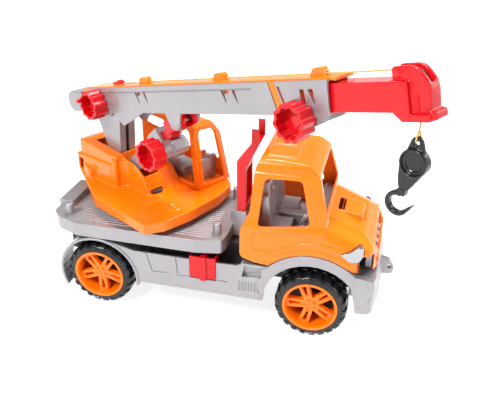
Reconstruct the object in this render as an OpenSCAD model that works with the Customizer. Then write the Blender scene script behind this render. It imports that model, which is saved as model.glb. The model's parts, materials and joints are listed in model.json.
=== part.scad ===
// Toy crane truck: a lorry with a slewing deck, a boom raised by a rack, a telescopic
// section and a hook on a cord.
// Millimetres. The origin is on the ground under the slewing axis, on the truck's centre
// plane. +X is the truck's front, +Y its left side and +Z is up.

/* [Wheels] */
// Radius of a tyre over its tread
tyre_r = 40; // [39:0.5:41]
// Width of a tyre
tyre_w = 30; // [28:0.5:31]
// Distance between the two axles
wheelbase = 248.6; // [246:0.2:250]
// Distance between the outer faces of the two wheels of an axle
track = 125.6; // [124:0.2:127]
// Radius of an axle
axle_r = 2; // [1.8:0.1:2.4]

/* [Truck] */
// Width over the chassis skirts
skirt_w = 121.6; // [120:0.2:122]
// Height of the bed's top above the ground
bed_z = 106.6; // [106:0.1:107]
// Depth of the bed's edge
bed_edge = 16; // [14:0.5:17]
// Height of the four studs on the bed
stud_h = 14; // [10:0.5:14]
// Radius of the four studs on the bed
stud_r = 4.8; // [4:0.1:5.5]
// Wall thickness of the mouldings
wall = 2.4; // [2:0.1:2.8]

/* [Crane] */
// Direction the crane faces, counted anticlockwise from the truck's front
slew_rest = -30.3; // [-60:0.1:60]
// Angle of the boom above level
boom_angle = 14.1; // [10:0.1:20]
// Outer height of the boom's side covers
boom_h = 28.8; // [28.4:0.1:29.2]
// Outer width of the boom over its side covers
boom_w = 28; // [27.6:0.1:28.6]
// Length of the boom in front of its pivot
boom_reach = 325; // [323:1:327]
// Radius of the three hand knobs over their lobes
knob_r = 17; // [15:0.5:18]
// Length of a hand knob
knob_l = 16; // [14:0.5:17]

/* [Hook] */
// Diameter of the cord
cord_d = 1.2; // [1:0.1:1.6]
// Length of cord that hangs between the head and the hook's eye
cord_drop = 18.8; // [18:0.1:20]

/* [Hidden] */
$fn = 48;

rear_x = -51;
front_x = rear_x + wheelbase;
wheel_y = track / 2 - tyre_w / 2;
running_gap = 0.08;

boom_pivot = [-60, 214];
case_pivot = [-36, 146];
lug_pivot = [60, 231];
case_angle = atan2(lug_pivot.y - case_pivot.y, lug_pivot.x - case_pivot.x);
case_to_lug = norm(lug_pivot - case_pivot);

boom_low = -2.5;
boom_top = boom_low + boom_h;
cover_t = 2.2;
cover_in = boom_w / 2 - cover_t;
lug_at = [120.5, -12.75];
winch_at = [-14.8, 8.9];
pulley_at = [393.6, 20.5];
pulley_groove_r = 7.8;
cord_run_t = pulley_at.y + pulley_groove_r + cord_d / 2;

gear_module = 1.25;
luff_teeth = 12;
luff_pinion_r = gear_module * luff_teeth / 2;
luff_pinion_at = [91.5, -14.3];
tele_teeth = 8;
tele_pinion_r = gear_module * tele_teeth / 2;
tele_pinion_at = [293, -5.4];

orange = "darkorange";
silver = [0.68, 0.66, 0.67];
red = "crimson";
black = [0.06, 0.06, 0.07];
dark = [0.2, 0.2, 0.21];
steel = [0.75, 0.76, 0.78];
cord_colour = [0.86, 0.62, 0.34];

// ---------- outlines ----------
function unit(v) = v / norm(v);
function xy(p) = [p[0], p[1]];

// The points that round corner b, between a and c, with radius r in n steps
function corner(a, b, c, r, n) = r <= 0 ? [b] :
    let (u = unit(a - b), w = unit(c - b), half = acos(u * w) / 2,
        centre = b + unit(u + w) * r / sin(half),
        p = b + u * r / tan(half) - centre, q = b + w * r / tan(half) - centre,
        start = atan2(p.y, p.x), sweep = (atan2(q.y, q.x) - start + 540) % 360 - 180)
    [for (i = [0 : n]) centre + r * [cos(start + sweep * i / n), sin(start + sweep * i / n)]];

// An outline of [x, y, corner radius] points with its corners rounded
function rounded(pts, n = 5) = let (m = len(pts))
    [for (i = [0 : m - 1]) each corner(
        xy(pts[(i + m - 1) % m]), xy(pts[i]), xy(pts[(i + 1) % m]), pts[i][2], n)];

// The anticlockwise outline of [x, y, radius] points, moved inwards by d and rounded
function inset(pts, d, n = 5) = let (m = len(pts)) rounded(
    [for (i = [0 : m - 1])
        let (b = xy(pts[i]), e = unit(b - xy(pts[(i + m - 1) % m])), f = unit(xy(pts[(i + 1) % m]) - b),
            ne = [-e.y, e.x], nf = [-f.y, f.x], moved = b + d * (ne + nf) / (1 + ne * nf))
        [moved.x, moved.y, max(pts[i][2] - d, 0)]], n);

function arc(c, r, a0, a1, n = 12) =
    [for (i = [0 : n]) c + r * [cos(a0 + (a1 - a0) * i / n), sin(a0 + (a1 - a0) * i / n)]];

function sharp(pts) = [for (p = pts) [p.x, p.y, 0]];

// An X-Z outline extruded from y0 to y1
module across(y0, y1) translate([0, y1, 0]) rotate([90, 0, 0]) linear_extrude(y1 - y0) children();

// A Y-Z outline extruded from x0 to x1
module along(x0, x1) translate([x0, 0, 0]) rotate([90, 0, 90]) linear_extrude(x1 - x0) children();

// A round bar across the truck, centred on [x, z]
module bar(at, r, y0, y1) translate([at.x, y1, at.y]) rotate([90, 0, 0]) cylinder(r = r, h = y1 - y0);

// A box from corner a to corner b
module box(a, b) translate(a) cube(b - a);

module both_sides() {
    children();
    mirror([0, 1, 0]) children();
}

// ---------- frames ----------
module on_deck() rotate([0, 0, slew_rest]) children();

module on_boom() on_deck() translate([boom_pivot.x, 0, boom_pivot.y])
    rotate([0, -boom_angle, 0]) children();

module on_case() on_deck() translate([case_pivot.x, 0, case_pivot.y])
    rotate([0, -case_angle, 0]) children();

// ---------- wheels ----------
module axle(x) color(steel) bar([x, tyre_r], axle_r, -wheel_y - 5.5, wheel_y + 5.5);

// A rim's barrel and hub, about its own axis with its outer face up
module rim_barrel() {
    rotate_extrude($fn = 96) polygon([[26.4, -11], [29.6, -11], [29.6, 13.6], [30.3, 13.6], [30.3, 15],
        [27.6, 15], [26.2, 12]]);
    translate([0, 0, -6]) cylinder(r = 6.2, h = 15);
}

// Five double spokes, each a loop of two parallel bars
module spokes() difference() {
    union() {
        circle(r = 7);
        for (k = [0 : 4]) rotate(72 * k)
            polygon([[0, -4.6], [12, -5.2], [28, -5.9], [28, 5.9], [12, 5.2], [0, 4.6]]);
    }
    for (k = [0 : 4]) rotate(72 * k) polygon([[11.5, -1.3], [23.6, -2.3], [23.6, 2.3], [11.5, 1.3]]);
}

// A wheel's rim, with its first double spoke at the angle turn
module rim(x, side, turn) color(orange) translate([x, side * wheel_y, tyre_r]) rotate([-90 * side, 0, 0])
    difference() {
        union() {
            rim_barrel();
            rotate([0, 0, turn]) translate([0, 0, 2]) linear_extrude(6.4) spokes();
        }
        translate([0, 0, -20]) cylinder(r = axle_r, h = 26);
        rotate([0, 0, turn]) {
            for (k = [0 : 4]) rotate([0, 0, 72 * k]) translate([4.2, -1.4, 7.6]) cube([9.4, 2.8, 4]);
            translate([0, 0, 8.2]) cylinder(r = 2.4, h = 4, $fn = 5);
        }
    }

module tyre(x, side) color(black) translate([x, side * wheel_y, tyre_r]) rotate([-90 * side, 0, 0])
    difference() {
        rotate_extrude($fn = 96) polygon(rounded([[29.6, -13.4, 0], [33, -tyre_w / 2, 2],
            [tyre_r - 2.5, -tyre_w / 2 + 1, 2], [tyre_r, -tyre_w / 2 + 4, 1.5],
            [tyre_r, tyre_w / 2 - 4, 1.5], [tyre_r - 2.5, tyre_w / 2 - 1, 2],
            [33, tyre_w / 2, 2], [29.6, 13.4, 0]], 3));
        for (k = [0 : 21]) for (row = [0, 1]) rotate([0, 0, (k + row / 2) * 360 / 22])
            translate([tyre_r - 2, -1.5, row == 0 ? -tyre_w / 2 - 1 : 1.2]) cube([4, 3, tyre_w / 2]);
        rotate_extrude($fn = 96) translate([tyre_r - 1.8, -0.9]) square([4, 1.8]);
    }

module rear_axle() axle(rear_x);
module rear_rim_left() rim(rear_x, 1, 56);
module rear_rim_right() rim(rear_x, -1, 56);
module rear_tyre_left() tyre(rear_x, 1);
module rear_tyre_right() tyre(rear_x, -1);
module front_axle() axle(front_x);
module front_rim_left() rim(front_x, 1, 39);
module front_rim_right() rim(front_x, -1, 39);
module front_tyre_left() tyre(front_x, 1);
module front_tyre_right() tyre(front_x, -1);

// ---------- chassis ----------
arch_r = 53;
lip_r = 65;
skirt_y = skirt_w / 2;
skirt_low = 38.5;
bumper_x = 268;

module skirt_outline() polygon(concat(
    arc([rear_x, tyre_r], 48, -2, 92, 10), [[rear_x + 4, 89.4], [-4, 79], [113, 79], [124, 83.5],
        [160, 83.5]],
    arc([front_x, tyre_r], lip_r - 4, 130, 50, 10), [[258, 84], [bumper_x - 8, 58], [252, 52]],
    arc([front_x, tyre_r], arch_r, 13, 180, 14), [[front_x - arch_r, skirt_low]]));

module wheel_lip() across(skirt_y - 6, skirt_y + 1.2) polygon(concat(
    arc([front_x, tyre_r], arch_r, 180, 8, 16), [[250, 50], [258, 60], [264, 78], [262, 84], [250, 86.5]],
    arc([front_x, tyre_r], lip_r, 46, 140, 12), [[front_x - lip_r + 8, 79], [front_x - lip_r + 6, 60]]));

module rear_arch() across(36, skirt_y + 1) polygon(concat(
    arc([rear_x, tyre_r], 46.5, -8, 206, 20), arc([rear_x, tyre_r], 49.2, 206, -8, 20)));

module bumper() difference() {
    intersection() {
        across(-skirt_y, skirt_y) polygon(rounded([[246, 41, 2], [262, 42, 6], [268.5, 54, 5],
            [268.5, 76, 4], [264, 84, 3], [236, 84, 0], [243, 58, 0]]));
        linear_extrude(100) polygon(rounded([[230, -skirt_y, 0], [262, -skirt_y, 8], [269.5, -30, 60],
            [269.5, 30, 60], [262, skirt_y, 8], [230, skirt_y, 0]], 6));
    }
    box([225, -skirt_y + wall, 30], [259, skirt_y - wall, 81]);
    for (y = [-22, 22]) box([255, y - 8, 58], [280, y + 8, 66]);
}

module tow_eye() across(-3, 3) difference() {
    polygon(rounded([[262, 57, 0], [280, 60, 3], [282, 68, 4], [276, 77, 4], [262, 80, 0]]));
    translate([276.5, 68.5]) circle(r = 2.4);
}

// The open step in front of a front wheel's arch, and the pocket behind it
module step_recess() across(-skirt_y - 5, -skirt_y + 6)
    polygon([[121, 66], [143, 68.5], [143, 80], [124, 81]]);

module step_pocket() across(skirt_y - 7.5, skirt_y - 0.5)
    polygon([[118, 63.5], [146, 66], [146, 82.4], [120, 83.4]]);

module skirt_detail() {
    across(-skirt_y - 1, -skirt_y + 1) {
        difference() {
            polygon([[9, 80], [16, 55], [37, 56], [37, 80]]);
            polygon([[10.4, 80], [16.9, 56.2], [37, 57.2], [37, 80]]);
        }
        difference() {
            polygon([[44.6, 80], [46.2, 54.6], [60, 55.6], [60, 80]]);
            polygon([[45.9, 80], [47.3, 55.9], [60, 56.8], [60, 80]]);
        }
        polygon([[93, 56.2], [105, 55.4], [105, 56.6], [93, 57.4]]);
    }
    step_recess();
    for (i = [0 : 9]) box([118 + 3.5 * i, -skirt_y - 1, 48], [119.6 + 3.5 * i, -skirt_y + 0.9, 60]);
}

module chassis_shell() color(silver) difference() {
    union() {
        both_sides() {
            across(skirt_y - wall, skirt_y) skirt_outline();
            wheel_lip();
            rear_arch();
            step_pocket();
        }
        difference() {
            box([2, -skirt_y + 1, 60], [142, skirt_y - 1, 60 + wall]);
            both_sides() box([60, skirt_y - 14, 50], [94, skirt_y + 5, 70]);
        }
        box([142, -31.6, 60], [240, 31.6, 60 + wall]);
        both_sides() box([236, 26, 42], [262, 31.6, 82]);
        bumper();
        tow_eye();
        both_sides() across(31.4, skirt_y - 1) polygon(concat(
            arc([front_x, tyre_r], arch_r, 165, 30, 14), arc([front_x, tyre_r], arch_r + wall, 30, 165, 14)));
    }
    both_sides() skirt_detail();
    both_sides() box([61, skirt_y - 12, 54.6], [92, skirt_y + 5, 90]);
    box([0, -31.1, 50], [258.8, 31.1, 92]);
}

module chassis_frame() color(dark) difference() {
    union() {
        difference() {
            box([-98, -30.8, 52], [258.4, 30.8, bed_low]);
            box([-95, -28, 40], [254, 28, bed_low - wall]);
        }
        for (x = [rear_x, front_x]) both_sides() axle_bearing(x);
        for (x = [-20, 70, 160, 235]) box([x, -28.5, 56], [x + wall, 28.5, 87]);
        for (x = [30, 180]) for (y = [-18, 18]) translate([x, y, 62]) cylinder(r = 4, h = bed_low - 63);
    }
    for (x = [rear_x, front_x]) bar([x, tyre_r], axle_r + running_gap, -40, 40);
    for (x = [30, 180]) for (y = [-18, 18]) translate([x, y, 60]) cylinder(r = 1.5, h = 20);
    cylinder(r = 11, h = 200, center = true);
}

// The bearing lug that hangs from the frame's side and carries an axle
module axle_bearing(x) across(24, 30.8) polygon(concat(
    arc([x, tyre_r], 6.5, 180, 360, 12), [[x + 13, 60], [x - 13, 60]]));

module chassis_screws() color(steel) for (x = [30, 180]) for (y = [-18, 18]) translate([x, y, 59.8])
    difference() {
    union() {
        cylinder(r = 3.2, h = 2.1);
        cylinder(r = 1.5, h = 16);
    }
    for (a = [0, 90]) rotate([0, 0, a]) cube([4, 0.8, 2], center = true);
}

// ---------- bed ----------
bed_half = [[100, -48, 6], [97, -58, 6], [69, -63.2, 8], [-74, -62.4, 10], [-100, -51.5, 9], [-111, -40, 8]];
bed_pts = concat([for (i = [len(bed_half) - 1 : -1 : 0]) bed_half[i]],
    [for (p = bed_half) [p[0], -p[1], p[2]]]);
bed_low = bed_z - bed_edge;

module stud(x, y) translate([x, y, bed_z - 1]) {
    cylinder(r = stud_r, h = stud_h);
    translate([0, 0, stud_h]) cylinder(r1 = stud_r, r2 = stud_r - 1, h = 1);
}

module bed() color(silver) difference() {
    union() {
        difference() {
            translate([0, 0, bed_low]) linear_extrude(bed_edge) polygon(rounded(bed_pts, 4));
            translate([0, 0, bed_low - 1]) linear_extrude(bed_edge + 1 - wall)
                polygon(inset(bed_pts, wall, 4));
        }
        for (x = [-89, 89]) for (y = [-43, 43]) stud(x, y);
        box([-111, -27, bed_z - 1], [-93.2, 27, bed_z + 7.5]);
        box([98, -19, 92], [115.6, 19, 123.8]);
        translate([0, 0, bed_low]) cylinder(r = 16, h = bed_edge);
        for (x = [-60, 60]) box([x, -50, bed_low + 0.2], [x + wall, 50, bed_z - 1]);
    }
    translate([0, 0, bed_low - 1]) cylinder(r = 6, h = 40);
    box([104, -17, 100], [114.6, 17, 130]);
    for (y = [-54 : 4.5 : 54]) box([-88, y - 0.35, bed_z - 0.5], [84, y + 0.35, bed_z + 1]);
}

module slew_pin() color(dark) {
    translate([0, 0, bed_low + 1]) cylinder(r = 6, h = 38);
    translate([0, 0, 127]) cylinder(r = 9, h = 2.6);
}

// ---------- lockers and boom rest ----------
module locker(side) color(red) mirror([0, side < 0 ? 1 : 0, 0]) {
    difference() {
        box([61.4, skirt_y - 11, 57], [91.6, skirt_y + 0.8, 84]);
        box([63.4, skirt_y - 12, 59], [89.6, skirt_y - 1.2, 85]);
    }
    across(skirt_y - 11, skirt_y + 3.2)
        polygon(rounded([[73.4, 55, 1], [80.8, 55, 1], [80.8, 85.6, 1], [73.4, 85.6, 1]], 3));
}

module locker_left() locker(1);
module locker_right() locker(-1);

module boom_rest() color(red) difference() {
    across(-17, 17) polygon([[104.3, 103], [114.3, 103], [114.3, 176], [126, 199], [128, 204],
        [128, 222], [120.5, 222], [120.5, 206], [104.3, 184]]);
    box([100, -14.6, 205.5], [140, 14.6, 240]);
    box([110, -13, 130], [130, 13, 172]);
}

// ---------- cab ----------
cab_side = concat([[121.5, 91, 2], [135, 86.8, 0]],
    sharp(arc([front_x, tyre_r], lip_r + 0.4, 136, 52, 12)), [[250, 88.5, 4], [264, 88, 2],
    [264.5, 104, 12], [258, 118, 12], [241, 131.4, 40], [209.5, 144.8, 5], [198, 190, 8], [186, 199, 10],
    [150, 201, 60], [134.5, 199.5, 5], [130.6, 190, 14], [127.4, 140, 8], [118.4, 125.5, 6], [117.6, 95, 5]]);

// Across the cab, at its sides, its belt line, its gutters and its roof
cab_half = [[skirt_y, 60, 0], [skirt_y, 131, 5], [57.2, 138, 4], [46.6, 186.6, 1.5], [44.8, 188.4, 1],
    [42.6, 199, 9],
    [34, 202, 10]];

// Across the bonnet, with its raised middle
bonnet_half = [[skirt_y, 30, 0], [skirt_y, 125, 8], [54.5, 137.4, 5], [40, 141.2, 0], [37, 143.4, 1.5]];

// An outline's right half joined to its mirror image
function whole(half) = concat([for (i = [len(half) - 1 : -1 : 0]) [-half[i][0], half[i][1],
    half[i][2]]], half);
function turned(pts) = [for (i = [len(pts) - 1 : -1 : 0]) pts[i]];
cab_front = turned(whole(turned(cab_half)));
bonnet_front = turned(whole(turned(bonnet_half)));

cab_top = [[117.6, -skirt_y, 3], [236, -skirt_y, 30], [256, -56, 12], [264.5, -30, 40],
    [264.5, 30, 40], [256, 56, 12], [236, skirt_y, 30], [117.6, skirt_y, 3]];

module cab_mass(d) difference() {
    intersection() {
        across(-70, 70) polygon(inset(cab_side, d));
        along(100, 280) polygon(inset(cab_front, d));
        linear_extrude(240) polygon(inset(cab_top, d));
    }
    bonnet_cut(d);
}

module on_bonnet() translate([208, 0, 143.4]) rotate([0, 23, 0]) translate([0, 0, -143.4]) children();

// What the bonnet's own outline takes off the cab in front of the windscreen
module bonnet_cut(d) difference() {
    box([208 - d, -80, 60], [290, 80, 240]);
    on_bonnet() along(-60, 100) polygon(inset(bonnet_front, d));
}

module scoop(d) across(-16 + d, 16 - d) polygon([[212, 124], [212, 139.4], [217, 140], [241 - d, 135.4 - d],
    [243.4 - d, 133.4 - d], [243.4 - d, 116]]);

// The sunk panel on the cab's side, under the belt line and over the wheel arch
panel = rounded([[132.6, 103.4, 3], [156, 102.4, 3], [167, 110.6, 14], [184, 118, 30], [206, 120.4, 20],
    [229, 116, 6], [233, 118, 1], [222, 125, 20], [206, 129.6, 10], [190, 130.2, 10], [150, 126.6, 10],
    [132.6, 124, 3]], 4);

module flare() both_sides() across(skirt_y - 3, skirt_y + 1.1) polygon(concat(
    arc([front_x, tyre_r], lip_r + 0.4, 131, 56, 14), arc([front_x, tyre_r], lip_r + 6.4, 56, 131, 14)));

module side_window() across(-80, 80)
    polygon(rounded([[137.4, 131.5, 3], [192, 138, 4], [180.6, 183, 5], [142, 182, 6]], 4));

module windshield() along(185, 260)
    polygon(rounded([[-49, 146, 4], [49, 146, 4], [38, 187, 5], [-38, 187, 5]], 4));

module rear_window() along(100, 136)
    polygon(rounded([[-42, 146, 4], [42, 146, 4], [34, 185, 5], [-34, 185, 5]], 4));

module grille_opening() along(250, 290)
    polygon(rounded([[-41, 91.5, 2], [41, 91.5, 2], [35, 115, 2], [-35, 115, 2]], 3));

module grille_bars() intersection() {
    difference() {
        linear_extrude(200) polygon(rounded(cab_top));
        linear_extrude(199) polygon(inset(cab_top, 3));
    }
    along(250, 290) for (i = [-2 : 2]) translate([i * 16, 103.2]) for (a = [-36, 36]) rotate(a)
        square([2.8, 32], center = true);
    box([250, -41.5, 91], [290, 41.5, 115.5]);
}

module headlamp_hole(d = 0) across(44, 75)
    polygon(inset([[225.3, 111.7, 1], [235.4, 103.6, 4], [244.6, 103.6, 4],
    [249, 112, 4], [248.6, 119.6, 2], [243.4, 122, 2], [235, 115.8, 5]], d, 4));

module cab_shell() color(orange) {
    difference() {
        union() {
            cab_mass(0);
            scoop(0);
            flare();
        }
        difference() {
            union() {
                cab_mass(wall);
                scoop(wall);
            }
            box([110, -80, 60], [290, 80, 89]);
        }
        box([121, -skirt_y + wall, 60], [259, skirt_y - wall, 110]);
        side_window();
        windshield();
        rear_window();
        grille_opening();
        both_sides() headlamp_hole();
        both_sides() across(skirt_y - 1.5, skirt_y + 5) polygon(panel);
        for (y = [-16, 0, 16]) box([176, y - 1, 198.4], [182, y + 1, 210]);
        box([240, -12, 127.5], [250, 12, 131.5]);
        both_sides() for (i = [0 : 5])
            box([138 + 3 * i, skirt_y - 0.8, 92], [139.4 + 3 * i, skirt_y + 2, 98]);
    }
    grille_bars();
    box([140, -30, 200.2], [172, -2, 201.8]);
    box([140, 2, 200.2], [172, 30, 201.8]);
}

module grille_insert() color(silver) intersection() {
    cab_mass(wall + 0.3);
    box([251, -44, 91.2], [270, 44, 116.5]);
}

module headlamp(side) color(silver) mirror([0, side < 0 ? 1 : 0, 0]) intersection() {
    headlamp_hole(0.15);
    linear_extrude(200) polygon(inset(cab_top, -0.6));
    box([220, 50, 100], [260, 70, 126]);
}

module headlamp_left() headlamp(1);
module headlamp_right() headlamp(-1);

module seat_at(x, y, w) {
    box([x, y - w / 2, 107], [x + 26, y + w / 2, 120]);
    across(y - w / 2, y + w / 2)
        polygon(rounded([[x - 2, 107, 0], [x + 8, 107, 0], [x + 3, 158, 3], [x - 6, 158, 3]], 3));
    across(y - 8, y + 8)
        polygon(rounded([[x - 6, 156, 0], [x + 3, 156, 0], [x + 2, 171, 3], [x - 5, 171, 3]], 3));
}

module cab_interior() color(silver) {
    box([120.4, -skirt_y + wall + 0.1, 105.2], [206, skirt_y - wall - 0.1, 107.6]);
    for (x = [148, 184]) both_sides() translate([x, 20, bed_low]) cylinder(r = 4, h = 16);
    for (y = [-25, 25]) seat_at(142, y, 30);
    box([150, -6, 107], [180, 6, 122]);
    across(-50, 50)
        polygon(rounded([[190, 107, 0], [206, 107, 0], [206, 137, 3], [196, 140, 4],
            [188, 128, 4]], 3));
    translate([183, -25, 132]) rotate([0, -65, 0]) difference() {
        cylinder(r = 11, h = 2.6, center = true);
        cylinder(r = 8.6, h = 4, center = true);
    }
    translate([183, -25, 132]) rotate([0, -65, 0]) {
        cube([3, 20, 2], center = true);
        translate([0, 0, -14]) cylinder(r = 1.6, h = 14);
    }
}

// ---------- deck ----------
deck_low = 113;
deck_top = 126;
deck_pts = [[54, -58, 2], [64, -38, 10], [67, -4, 60], [62, 46, 30], [50, 78, 12], [30, 88, 10],
    [-34, 88, 8], [-66, 60, 12], [-112, 32, 8], [-121, 20, 8],
    [-121, -26, 6], [-38, -58.5, 3]];

module tail_cut(d) across(-100, 100)
    polygon([[-140, 90], [-44 + d, 90], [-44 + d, deck_low - 8], [-76 + d, 123.4 + d],
        [-140, 126 + d]]);

module counterweight(d) {
    intersection() {
        translate([0, 0, 112]) linear_extrude(70)
            polygon(inset([[-117, -25, 6], [-40, -25, 4], [-38, 14, 3], [-117, 14, 6]], d, 3));
        across(-60, 60) polygon([[-119 + d, 110], [-34 - d, 110], [-38 - d, 164 - d], [-106 + d, 167.5 - d],
            [-116 + d, 166 - d], [-119 + d, 140]]);
    }
    intersection() {
        translate([0, 0, 112]) linear_extrude(50)
            polygon(inset([[-121, -28.4, 6], [-44, -28.4, 3], [-44, 18, 3], [-121, 18, 6]], d, 3));
        across(-60, 60)
            polygon([[-125, 110], [-30, 110], [-30, 155 - d], [-119 + d, 148 - d], [-122 + d, 145]]);
    }
}

// The upright rib at the counterweight's front corner and the hollow wall beside it
module corner_rib() {
    translate([-41, -24.4, 124]) cylinder(r = 3.8, h = 38);
    difference() {
        box([-42, -24, 124], [-23, -10.8, 158]);
        translate([-23, -28, 100]) cylinder(r = 16.5, h = 80);
    }
}

module hump() across(-13.4, 13.4) polygon(rounded([[-42, 112, 0], [6, 112, 0], [5, 128, 0], [-5, 149, 8],
    [-18, 157, 10], [-42, 161, 0]], 4));

module deck_solid(d) {
    translate([0, 0, deck_low - 1]) linear_extrude(deck_top - deck_low + 1 - d)
        polygon(inset(deck_pts, d, 4));
    translate([0, 0, 112]) linear_extrude(27 - d) polygon(inset([[-80, 46, 6], [-112, 32, 5],
        [-118, 18, 5], [-118, -24, 5], [-80, -38, 6]], d, 4));
}

// The step between the boom's groove and the crane cab
module far_step(d) across(11, 36.6)
    polygon([[-30 + d, 112], [6 - d, 112], [4 - d, 127 - d], [-10 - d, 146 - d],
    [-30 + d, 150 - d]]);

module deck() color(orange) on_deck() {
    difference() {
        union() {
            deck_solid(0);
            counterweight(0);
            corner_rib();
            hump();
            far_step(0);
            difference() {
                translate([0, 0, 107.2]) cylinder(r = 34, h = 8);
                translate([0, 0, 106]) cylinder(r = 31, h = 18);
            }
        }
        difference() {
            union() {
                deck_solid(wall);
                counterweight(wall);
            }
            cylinder(r = 12, h = 400);
            tail_cut(wall);
            difference() {
                cylinder(r = 200, h = 125);
                cylinder(r = 90, h = 130);
            }
            box([-76, -13.4, 100], [-46, 13.4, 168]);
            box([-48, -13.4, 123], [-20, 13.4, 168]);
        }
        box([-200, -200, 90], [200, 200, deck_low - 6]);
        difference() {
            box([-200, -200, 90], [200, 200, deck_low]);
            cylinder(r = 34, h = 200);
        }
        tail_cut(0);
        difference() {
            cylinder(r = 200, h = 122.6);
            cylinder(r = 92.4, h = 200);
        }
        cylinder(r = 6 + running_gap, h = 130.4);
        translate([0, 0, 126.4]) cylinder(r = 9.6, h = 3.8);
        across(-10.8, 10.8)
            polygon([[-44.5, 136], [-24, 132], [-10, 143], [-2, 148], [-8, 175], [-44.5, 175]]);
        across(-11.2, 11.2) polygon([[-94, 205], [-71.4, 126.1], [-49, 126.1], [-42, 205]]);
        bar(case_pivot, 2.5, -12.6, 12.6);
        box([-115, -32, 128], [-105, -26.2, 143]);
        box([-96, -12, 163], [-78, 8, 180]);
    }
    for (p = [[46, -9], [14, -20]]) translate([p.x, p.y, deck_top - 0.5]) {
        difference() {
            cylinder(r = 8.4, h = 1.8);
            cylinder(r = 6, h = 3);
        }
        cylinder(r = 2.6, h = 2);
    }
    for (a = [-60, -48, -36]) rotate([0, 0, a]) translate([44, -0.8, deck_top - 0.5]) cube([12, 1.6, 1.2]);
    box([6, -4, deck_top - 0.5], [62.4, 2, deck_top + 0.7]);
    box([6, 28, deck_top - 0.5], [60, 33, deck_top + 0.7]);
}

module case_pin() color(steel) on_deck() bar(case_pivot, 2.5, -12.6, 12.6);

// The winch drum's place when the boom is at its highest, which the pedestal leaves free
drum_low = boom_pivot + norm(winch_at) * [cos(183), sin(183)];

module pedestal() color(silver) on_deck() difference() {
    across(-10.8, 10.8) polygon(concat([[-50.4, 126.1], [-43.6, 207]],
        arc(boom_pivot, 6.4, 20, 150, 8), [[-89, 196.5], [-84, 190], [-70.6, 160], [-67, 126.1]]));
    across(-8.4, 8.4) polygon([[-53, 140], [-47.6, 198], [-82, 195], [-67.5, 160], [-65, 140]]);
    box([-60, -2.4, 150], [-40, 2.4, 204]);
    bar(boom_pivot, 3 + running_gap, -20, 20);
    bar(drum_low, 7, -12, 12);
}

module deck_screws() color(steel) on_deck() for (p = [[-30, -40], [40, -40], [40, 30], [-20, 40]])
    translate([p.x, p.y, deck_top - 3.4]) difference() {
        cylinder(r = 2.4, h = 2.4);
        for (a = [0, 90]) rotate([0, 0, a]) translate([-2, -0.4, -0.2]) cube([4, 0.8, 1]);
    }

// ---------- crane cab ----------
crane_cab_front = [[88, deck_top + 0.1, 0], [78, 188, 10], [66, 205, 8], [38, 208, 6],
    [37, deck_top + 0.1, 0]];

module crane_cab_mass(d) intersection() {
    cylinder(r = 101 - d, h = 300);
    along(-90, 60) polygon(inset(crane_cab_front, d));
    across(20, 100)
        polygon([[-68 + d, 120], [38 - d, 120], [30 - d, 202], [24 - d, 209 - d], [-60 + d, 209 - d],
            [-68 + d, 186]]);
}

module crane_cab() color(orange) on_deck() difference() {
    crane_cab_mass(0);
    intersection() {
        crane_cab_mass(3.4);
        box([-100, 0, 128.8], [100, 100, 220]);
    }
    along(20, 60)
        polygon(rounded([[46, 131, 3], [78.5, 131, 3], [69, 190, 6], [64, 195.6, 5],
            [44.6, 197.6, 4]], 3));
    across(20, 60)
        polygon(rounded([[-27, 131, 3], [28, 131, 3], [20.6, 197, 5], [-58, 198, 4], [-62, 187, 3],
            [-29, 185, 4]], 3));
    across(60, 100) polygon(rounded([[-58, 150, 4], [28, 150, 4], [22, 192, 5], [-54, 192, 5]], 3));
    along(-80, -60) polygon(rounded([[43, 150, 3], [76, 150, 3], [69, 188, 4], [46, 192, 4]], 3));
}

module crane_seat() color(silver) on_deck() {
    box([-34, 44, 129.5], [2, 70, 142]);
    across(44, 70) polygon(rounded([[-36, 129.5, 0], [-24, 129.5, 0], [-30, 176, 4], [-40, 176, 4]], 3));
    across(41.6, 44.4) polygon(rounded([[-30, 136, 3], [0, 136, 3], [0, 152, 3], [-30, 156, 3]], 3));
}

module crane_console() color(silver) on_deck() {
    across(48, 76)
        polygon(rounded([[12, 129.5, 0], [24, 129.5, 0], [26, 156, 2], [21, 160, 3], [10, 143, 3]], 3));
    for (y = [54, 70]) translate([15, y, 148]) rotate([0, -20, 0]) {
        cylinder(r = 1.2, h = 12);
        translate([0, 0, 12]) sphere(r = 2.6);
    }
}

// ---------- luffing gear ----------
// A wheel with straight narrow teeth of the given module
module toothed(teeth, m, w) {
    r = m * teeth / 2;
    translate([0, 0, -0.2]) cylinder(r = r - 1.3 * m, h = w + 0.4);
    for (k = [0 : teeth - 1]) rotate([0, 0, 90 + 360 * k / teeth]) linear_extrude(w)
        polygon([[0, -0.62 * m], [r - 1.3 * m, -0.62 * m], [r + 0.8 * m, -0.26 * m],
            [r + 0.8 * m, 0.26 * m], [r - 1.3 * m, 0.62 * m], [0, 0.62 * m]]);
}

// A rack's outline along X with its teeth pointing down, a gap at x = 0, from x0 to x1
module rack_outline(m, x0, x1, back) {
    p = PI * m;
    translate([x0, 1.1 * m]) square([x1 - x0, back]);
    for (i = [ceil(x0 / p) : floor(x1 / p) - 1]) translate([(i + 0.5) * p, 0])
        polygon([[-0.6 * m, 1.2 * m], [-0.3 * m, -0.8 * m], [0.3 * m, -0.8 * m], [0.6 * m, 1.2 * m]]);
}

case_mouth = 88;

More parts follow.
